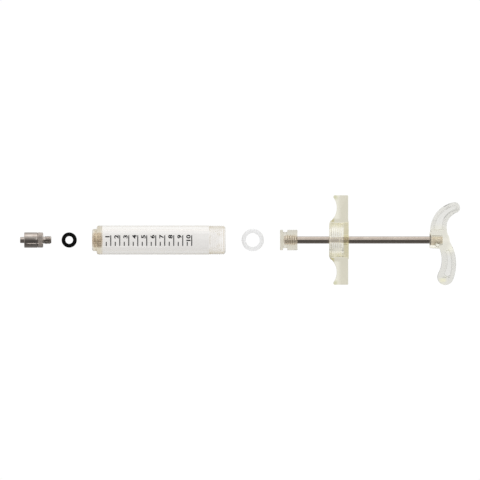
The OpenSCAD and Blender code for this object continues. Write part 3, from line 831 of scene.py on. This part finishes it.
thread_start = BARREL_LEN - THREAD_LEN
insert_in = NOSE_INSERT_R - INSERT_GROOVE - EMBED
barrel = turn("barrel", [
    (0, SEAT_R, FINE_EDGE), (0, NOSE_R - NOSE_BEVEL_R, MOULDED_EDGE), (NOSE_BEVEL_LEN, NOSE_R, MOULDED_EDGE),
    (NOSE_LEN, NOSE_R, SMALL_EDGE), (NOSE_LEN, BARREL_R, SHOULDER_EDGE),
    (thread_start, BARREL_R, FINE_EDGE), (thread_start + THREAD_LEAD, THREAD_ROOT_R),
    *teeth(thread_start + THREAD_LEAD, THREAD_TURNS, THREAD_ROOT_R, BARREL_R)[1:],
    (BARREL_LEN, THREAD_ROOT_R, REAR_EDGE), (BARREL_LEN, BORE_R, SMALL_EDGE),
    (END_WALL, BORE_R, END_WALL_EDGE), (END_WALL, insert_in), (O_RING_SEAT, insert_in),
    (O_RING_SEAT, SEAT_R, FINE_EDGE)], BARREL, steps=160)
finish_piece(barrel, "barrel_tube", barrel_clear, "barrel", "barrel_clear", "barrel")


def fluted_insert(name, place, length, radius, bore, bands, count, depth):
    """A knurled insert with two bands of flutes and a groove between them."""
    (start, groove_start), (groove_end, end) = bands
    face = radius - INSERT_CHAMFER
    waist = radius - INSERT_GROOVE
    columns = count * FLUTE_STEPS
    piece = turn(name, [
        (0, bore), (0, face), (start, radius), (groove_start, radius), (groove_start, waist),
        (groove_end, waist), (groove_end, radius), (end, radius), (length, face), (length, bore)],
        place, steps=columns)
    edit(piece)

    def in_flute(v):
        y, z = v.co.y + piece.location.y - place.y, v.co.z + piece.location.z - place.z
        column = round((math.atan2(y, z) % FULL_TURN) / FULL_TURN * columns)
        return math.hypot(y, z) > (radius - MARGIN) * MM and column % FLUTE_STEPS == 0

    select(piece, "VERT", in_flute)
    inward = 1 - depth / radius
    bpy.ops.transform.resize(value=(1, inward, inward), center_override=place)
    bpy.ops.object.mode_set(mode="OBJECT")
    return piece


nose_insert = fluted_insert("nose_insert", NOSE_INSERT, NOSE_INSERT_LEN, NOSE_INSERT_R, STUB_R + BORE_FIT,
                            NOSE_BANDS, NOSE_FLUTES, NOSE_FLUTE_DEPTH)
finish_piece(nose_insert, "nose_thread", nose_brass, "barrel", "insert_brass", "nose_insert")


def print_on_barrel(piece):
    """Lays flat ink down on the barrel and gives it its thickness."""
    modify(piece, "SHRINKWRAP", target=barrel, wrap_method="PROJECT", use_project_z=True,
           use_negative_direction=True, use_positive_direction=False, offset=INK_LIFT * MM)
    modify(piece, "SOLIDIFY", thickness=INK_T * MM, offset=1)


def above_scale(ml, along, across):
    """A place above the barrel, along from a millilitre's line and across from the rod's axis."""
    return BARREL + Vector((END_WALL + ml * ML_LEN + along, across, BARREL_R + INK_DROP)) * MM


def scale_line(ml):
    """A flat line of the scale, above the barrel."""
    size = LONG_TICK if ml == int(ml) else SHORT_TICK
    deselect()
    bpy.ops.mesh.primitive_grid_add(x_subdivisions=2, y_subdivisions=16, size=1,
                                    location=above_scale(ml, 0, size / 2 - TICK_FOOT))
    bpy.ops.transform.resize(value=(TICK_W * MM, size * MM, 1))
    return bpy.context.object


def scale_numeral(ml):
    """A flat numeral of the scale, above the barrel, read along +Y."""
    deselect()
    bpy.ops.object.text_add()
    piece = bpy.context.object
    piece.data.body = str(ml)
    piece.data.align_x = "RIGHT"
    piece.data.resolution_u = 4
    piece.data.offset = NUMERAL_BOLD
    bpy.ops.object.convert(target="MESH")
    piece = bpy.context.object
    size = NUMERAL_H * MM / piece.dimensions.y
    piece.scale = (size * NUMERAL_WIDEN, size, size)
    piece.rotation_euler.z = math.pi / 2
    piece.location = above_scale(ml, -NUMERAL_GAP, LONG_TICK - TICK_FOOT + NUMERAL_FOOT)
    bpy.ops.object.transform_apply(location=True, rotation=True, scale=True)
    edit(piece)
    low = min(v.co.y for v in piece.data.vertices)
    high = max(v.co.y for v in piece.data.vertices)
    for i in range(1, NUMERAL_STRIPS):
        cut = low + (high - low) * i / NUMERAL_STRIPS
        bpy.ops.mesh.select_all(action="SELECT")
        bpy.ops.mesh.bisect(plane_co=(0, cut, 0), plane_no=(0, 1, 0), threshold=TOUCH)
    bpy.ops.mesh.select_all(action="SELECT")
    bpy.ops.mesh.dissolve_degenerate(threshold=TOUCH)
    bpy.ops.mesh.delete_loose()
    bpy.ops.object.mode_set(mode="OBJECT")
    return piece


lines = join("lines", *[scale_line(i / 2) for i in range(1, 2 * CAPACITY + 1)])
bpy.ops.object.transform_apply(location=True, rotation=True, scale=True)
print_on_barrel(lines)
finish_piece(lines, "scale_lines", ink, "barrel", "ink", "scale_ticks")
numerals = join("numerals", *[scale_numeral(i) for i in range(1, CAPACITY + 1)])
print_on_barrel(numerals)
finish_piece(numerals, "scale_numbers", ink, "barrel", "ink", "scale_numerals")


# Piston and rod

rod_in = PISTON_TURNS * ROD_PITCH
groove_end = LIP_W + GROOVE_W
piston = turn("piston", [
    (0, 0), (0, PISTON_R, MOULDED_EDGE), (LIP_W, PISTON_R, FINE_EDGE), (LIP_W, GROOVE_R, TURNED_EDGE),
    (groove_end, GROOVE_R, TURNED_EDGE), (groove_end, PISTON_R, FINE_EDGE),
    (PISTON_LEN, PISTON_R, MOULDED_EDGE), (PISTON_LEN, ROD_R - EMBED),
    (PISTON_FRONT + rod_in, ROD_R - EMBED), (PISTON_FRONT + rod_in, ROD_ROOT_R - EMBED),
    (PISTON_FRONT + EMBED, ROD_ROOT_R - EMBED), (PISTON_FRONT + EMBED, 0)], PISTON, closed=False)
finish_piece(piston, "piston_block", piston_clear, "plunger", "piston_clear", "piston")

thread_end = ROD_LEN - HANDLE_TURNS * ROD_PITCH
rod_face = ROD_ROOT_R - ROD_CHAMFER
shaft = turn("shaft", [
    (0, 0), (0, rod_face), (ROD_CHAMFER, ROD_ROOT_R), (rod_in, ROD_ROOT_R), (rod_in + ROD_RUNOUT, ROD_R),
    (thread_end - ROD_RUNOUT, ROD_R), (thread_end, ROD_ROOT_R), (ROD_LEN - ROD_CHAMFER, ROD_ROOT_R),
    (ROD_LEN, rod_face), (ROD_LEN, 0)], ROD, steps=96, closed=False)
front_thread = helix("front_thread", ROD, ROD_LEAD, PISTON_TURNS - 1, ROD_PITCH,
                     ROD_ROOT_R - RIDGE_SINK, ROD_R, ROD_CREST)
back_thread = helix("back_thread", ROD, thread_end, HANDLE_TURNS - 1, ROD_PITCH,
                    ROD_ROOT_R - RIDGE_SINK, ROD_R, ROD_CREST)
finish_piece(join("rod", shaft, front_thread, back_thread), "plunger_shaft", steel, "plunger", "steel",
             "plunger_rod")


# Finger grip

def grip_arm(name, side):
    """One arm of the grip, with its finger notch, drawn from the hub's wall outwards."""
    front = ARM_BACK - TIP_THICK
    centre = Vector((ARM_BACK - ARM_THICK - NOTCH_R, NOTCH_Y))
    reach = math.acos((front - centre.x) / NOTCH_R)
    notch = [centre + NOTCH_R * Vector((math.cos(a), math.sin(a)))
             for a in [reach - (reach + NOTCH_RUN) * i / NOTCH_STEPS for i in range(NOTCH_STEPS + 1)]]
    tip = ARM_SPAN / 2
    outline = softened([(ARM_BACK, ARM_ROOT), (ARM_BACK, tip, ARM_EDGE), (front, tip, TIP_EDGE), *notch,
                        (notch[-1].x, ARM_ROOT)])
    piece = extrude_outline(name, [(p.x, side * p.y) for p in outline], GRIP, -ARM_DEPTH / 2, ARM_DEPTH / 2)
    soften_faces(piece, ARM_EDGE, ARM_DEPTH / 2)
    return piece


socket_start = SOCKET_DEPTH - END_GAP - THREAD_LEN + THREAD_LEAD
socket_r = THREAD_ROOT_R + SOCKET_GAP
grooves = [p for p in teeth(socket_start, THREAD_TURNS, socket_r, BARREL_R + SOCKET_GAP)
           if MOUTH_PLAIN < p[0] < SOCKET_DEPTH - FLOOR_PLAIN]
grip = turn("grip", [
    (0, BARREL_R + SOCKET_MOUTH), *grooves, (SOCKET_DEPTH, socket_r), (SOCKET_DEPTH, ROD_BORE_R),
    (HUB_LEN, ROD_BORE_R, SMALL_EDGE), (HUB_LEN, HUB_R, HUB_EDGE), (HUB_BEVEL_LEN, HUB_R, HUB_EDGE),
    (0, HUB_R - HUB_BEVEL_R, HUB_BEVEL_EDGE)], GRIP, steps=160)
for side in (-1, 1):
    combine(grip, grip_arm("arm", side), "UNION")
for side in (-1, 1):
    edit(grip)
    bpy.ops.mesh.select_all(action="SELECT")
    bpy.ops.mesh.bisect(plane_co=GRIP + Vector((0, 0, side * (HUB_R - HUB_FLAT))) * MM, plane_no=(0, 0, side),
                        use_fill=True, clear_outer=True, threshold=TOUCH)
    bpy.ops.object.mode_set(mode="OBJECT")
finish_piece(grip, "grip_wings", grip_amber, "grip", "grip_amber", "finger_grip")


# Handle

def polar(a):
    """The direction at an angle in degrees."""
    return Vector((math.cos(math.radians(a)), math.sin(math.radians(a))))


def between(angle, first, first_width, last, last_width):
    """A width that changes evenly from one angle to another, and stays as it is outside them."""
    share = min(1, max(0, (angle - first) / (last - first)))
    return first_width + (last_width - first_width) * share


LOW_BEND_ANGLE = BEND_ANGLE - 180


def upper_w(a):
    """Half the width of the upper bow at an angle."""
    return between(a, HOOK_ANGLE, HOOK_W, WAIST_ANGLE, WAIST_W)


def lower_w(a):
    """Half the width of the lower bow at an angle."""
    if a < PALM_ANGLE:
        return between(a, FOOT_ANGLE, FOOT_W, PALM_ANGLE, PALM_W)
    return between(a, PALM_ANGLE, PALM_W, LOW_BEND_ANGLE, WAIST_W)


# The handle's two bows: centre, radius and half width
UPPER_BOW = (UPPER_C, UPPER_R, upper_w)
LOWER_BOW = (UPPER_C + (UPPER_R + LOWER_R) * polar(BEND_ANGLE), LOWER_R, lower_w)
OUTSIDE = 1
INSIDE = -1


def bow_edge(bow, start, end, side, inset=0, steps=28):
    """Points along a bow's outer or inner side, from one angle to another, set in from its edge."""
    centre, radius, width = bow
    angles = [start + (end - start) * i / steps for i in range(steps + 1)]
    return [centre + (radius + side * (width(a) - inset)) * polar(a) for a in angles]


def cap(start, end, steps=12):
    """A half round from the second point back to the first, turning anticlockwise, without its ends."""
    centre, arm = (start + end) / 2, (start - end) / 2
    first = math.degrees(math.atan2(arm.y, arm.x))
    return [centre + arm.length * polar(first - 180 * i / steps) for i in reversed(range(1, steps))]


def handle_outline():
    """The outline of both bows, with a round end at the hook and at the foot."""
    outer = bow_edge(UPPER_BOW, HOOK_ANGLE, BEND_ANGLE, OUTSIDE)
    palm = bow_edge(LOWER_BOW, LOW_BEND_ANGLE, FOOT_ANGLE, INSIDE)[1:]
    back = bow_edge(LOWER_BOW, FOOT_ANGLE, LOW_BEND_ANGLE, OUTSIDE)
    inner = bow_edge(UPPER_BOW, BEND_ANGLE, HOOK_ANGLE, INSIDE)[1:]
    return [*outer, *palm, *cap(back[0], palm[-1]), *back, *inner, *cap(outer[0], inner[-1])]


def upper_pocket():
    """The recess in the upper bow, with a round end at the hook."""
    near, far = UPPER_POCKET
    outer = bow_edge(UPPER_BOW, near, far, OUTSIDE, RIM_W)
    inner = bow_edge(UPPER_BOW, far, near, INSIDE, RIM_W)
    return [*outer, *inner, *cap(outer[0], inner[-1])]


def lower_pocket():
    """The recess in the lower bow, with a round end at the foot."""
    near, far = LOWER_POCKET
    inner = bow_edge(LOWER_BOW, far, near, INSIDE, PALM_INSET)
    outer = bow_edge(LOWER_BOW, near, far, OUTSIDE, RIM_W)
    return [*inner, *cap(outer[0], inner[-1]), *outer]


half_depth = HANDLE_DEPTH / 2
handle = extrude_outline("handle", handle_outline(), HANDLE, -half_depth, half_depth)
soften_faces(handle, HANDLE_EDGE, half_depth, segments=4)
for side in (-1, 1):
    for pocket in (upper_pocket(), lower_pocket()):
        floor_z, top_z = side * WEB_T / 2, side * HANDLE_DEPTH
        cutter = extrude_outline("pocket", pocket, HANDLE, min(floor_z, top_z), max(floor_z, top_z))
        level = AXIS + floor_z * MM - cutter.location.z
        soften_edges(cutter, POCKET_EDGE, lambda e: all(abs(v.co.z - level) < TOUCH for v in e.verts))
        combine(handle, cutter, "DIFFERENCE")
boss = turn("boss", [(0, 0), (0, BOSS_R, BOSS_EDGE), (BOSS_LEN, BOSS_END_R), (BOSS_LEN, 0)], HANDLE,
            closed=False)
combine(handle, boss, "UNION")
# The space around the insert starts in front of the boss, so that it cuts the boss's face cleanly
space_start = -1
space_r = HANDLE_INSERT_R + AIR
space_end = INSERT_SINK + HANDLE_INSERT_LEN + AIR
insert_space = turn("insert_space", [
    (space_start, 0), (space_start, space_r), (space_end, space_r), (space_end, 0)], HANDLE, steps=96,
    closed=False)
combine(handle, insert_space, "DIFFERENCE")
finish_piece(handle, "palm_handle", handle_clear, "plunger", "handle_clear", "handle")
handle_insert = fluted_insert("handle_insert", HANDLE_INSERT, HANDLE_INSERT_LEN, HANDLE_INSERT_R,
                              ROD_ROOT_R - BORE_FIT, HANDLE_BANDS, HANDLE_FLUTES, HANDLE_FLUTE_DEPTH)
finish_piece(handle_insert, "handle_thread", handle_brass, "plunger", "insert_brass", "handle_insert")


# Table

# Size in metres, drop below the pieces in millimetres, and brightness
TABLE_SIZE = 6
TABLE_DROP = 0.15
TABLE_WHITE = 1.02
# The table's brightness changes this far to both sides of the row's line (Y) and of the row's middle (X)
SHADE_REACH = 20 * MM
ROW_REACH = 100 * MM
# Painted shade on the table along the row, seen only in metal and through plastic. Brightness from the front
# of the row (-Y) to behind it: seen in metal, through plastic, and through the barrel, whose wall shows more
# of the table in front of the row
IN_METAL = [(0.2, 0.25), (0.8, 0.80)]
THROUGH_PLASTIC = [(0.0, 1.02), (0.21, 1.0), (0.24, 0.80), (0.28, 0.81), (0.40, 0.87), (0.5, 0.895),
                   (0.62, 0.905), (0.67, 1.01), (0.72, 0.94), (0.8, 1.02)]
THROUGH_BARREL = [(0.0, 0.86), (0.22, 0.845), (0.28, 0.85), (0.40, 0.885), (0.5, 0.91), (0.62, 0.92),
                  (0.67, 0.985), (0.72, 0.97), (0.8, 1.09)]
# The barrel's part of the row, and the share of the shade along the row: under the barrel's plain part,
# under the piston, and more under the grip's hub
BARREL_PART = [(0.44, 1), (0.46, 0)]
SHADE_ALONG = [(0.39, 1), (0.405, 0), (0.575, 0), (0.61, 1), (0.75, 1), (0.785, 1.6), (0.86, 1.6), (0.925, 0)]

deselect()
bpy.ops.mesh.primitive_plane_add(size=TABLE_SIZE, location=(0, 0, -TABLE_DROP * MM))
table = bpy.context.object
table.name = "table"
white = bpy.data.materials.new("white_table")
white.use_nodes = True
tree = white.node_tree
tree.nodes.remove(tree.nodes["Principled BSDF"])
place = split_place(tree, tree.nodes.new("ShaderNodeTexCoord").outputs["Object"])
across = share_of(tree, place["Y"], -SHADE_REACH, SHADE_REACH)
along = share_of(tree, place["X"], -ROW_REACH, ROW_REACH)
rays = tree.nodes.new("ShaderNodeLightPath").outputs
reflected = mix(tree, rays["Is Glossy Ray"], TABLE_WHITE, grey_ramp(tree, IN_METAL, across))
seen = mix(tree, grey_ramp(tree, BARREL_PART, along), grey_ramp(tree, THROUGH_PLASTIC, across),
           grey_ramp(tree, THROUGH_BARREL, across))
shaded = mix(tree, grey_ramp(tree, SHADE_ALONG, along), TABLE_WHITE, seen, clamp=False)
glow = tree.nodes.new("ShaderNodeEmission")
feed(tree, glow.inputs["Strength"], mix(tree, rays["Is Transmission Ray"], reflected, shaded))
feed(tree, tree.nodes["Material Output"].inputs["Surface"], glow.outputs["Emission"])
table.data.materials.append(white)


# Light

# Brightness of the studio from its dark side (-Y) over the camera to its bright side (+Y)
SKY = [(0.0, 0.14), (0.305, 0.12), (0.43, 0.12), (0.5, 0.17), (0.56, 0.27), (0.685, 0.43), (0.8, 0.68),
       (0.9, 0.86), (0.95, 1.4), (1.0, 1.7)]
# Brightness added towards both ends of the row, and brightness that dull surfaces see on all sides
ENDS = 0.6
AMBIENT = 1.0
# Brightness of the studio seen through clear plastic: its least, and the share of the above on top
THROUGH_LEAST = 0.42
THROUGH_SHARE = 0.6

world = bpy.data.worlds.new("studio")
bpy.context.scene.world = world
world.use_nodes = True
tree = world.node_tree
direction = split_place(tree, tree.nodes.new("ShaderNodeTexCoord").outputs["Generated"])
dome = grey_ramp(tree, SKY, share_of(tree, direction["Y"], -1, 1))
sideways = calculate(tree, "MULTIPLY", direction["X"], direction["X"])
sky = calculate(tree, "MULTIPLY_ADD", sideways, ENDS, dome)
rays = tree.nodes.new("ShaderNodeLightPath").outputs
straight = calculate(tree, "MAXIMUM", rays["Is Camera Ray"], rays["Is Transmission Ray"])
through = calculate(tree, "MULTIPLY_ADD", dome, THROUGH_SHARE, THROUGH_LEAST)
clear = calculate(tree, "MAXIMUM", through, rays["Is Camera Ray"])
shown = mix(tree, straight, sky, clear)
background = tree.nodes["Background"].inputs
background["Color"].default_value = (1, 1, 1, 1)
feed(tree, background["Strength"], mix(tree, rays["Is Diffuse Ray"], shown, AMBIENT))

# Two strips that show in the metal, one over the rod and one low in front of the nozzle, in metres and watts:
# name, place, target, width, height and power
STRIPS = (("rod_strip", (0.08, 0.197, 0.6), (0.08, 0, 0), 0.24, 0.3, 0.14),
          ("nozzle_strip", (-0.13, -0.49, 0.35), (-0.13, 0, 0), 0.15, 0.08, 0.06))
for name, place, target, width, height, power in STRIPS:
    deselect()
    bpy.ops.object.light_add(type="AREA", location=place)
    light = bpy.context.object
    light.name = name
    light.data.shape = "RECTANGLE"
    light.data.size = width
    light.data.size_y = height
    light.data.energy = power
    light.rotation_euler = (Vector(target) - Vector(place)).to_track_quat("-Z", "Y").to_euler()
    light.visible_diffuse = False


# Camera, straight above the row

# The picture's width in pixels, and the millimetres that one of them shows
PICTURE = 480
PIXEL = 0.66
# Distance and clipping in metres, and the sensor in millimetres
CAMERA_DISTANCE = 12
CLIP = (0.05, 30)
SENSOR = 36
deselect()
bpy.ops.object.camera_add(location=(0, 0, AXIS + CAMERA_DISTANCE), rotation=(0, 0, 0))
camera = bpy.context.object
camera.data.sensor_width = SENSOR
camera.data.lens = SENSOR * CAMERA_DISTANCE / (PICTURE * PIXEL * MM)
camera.data.clip_start, camera.data.clip_end = CLIP
bpy.context.scene.camera = camera
bpy.context.scene.view_settings.view_transform = "Standard"
deselect()
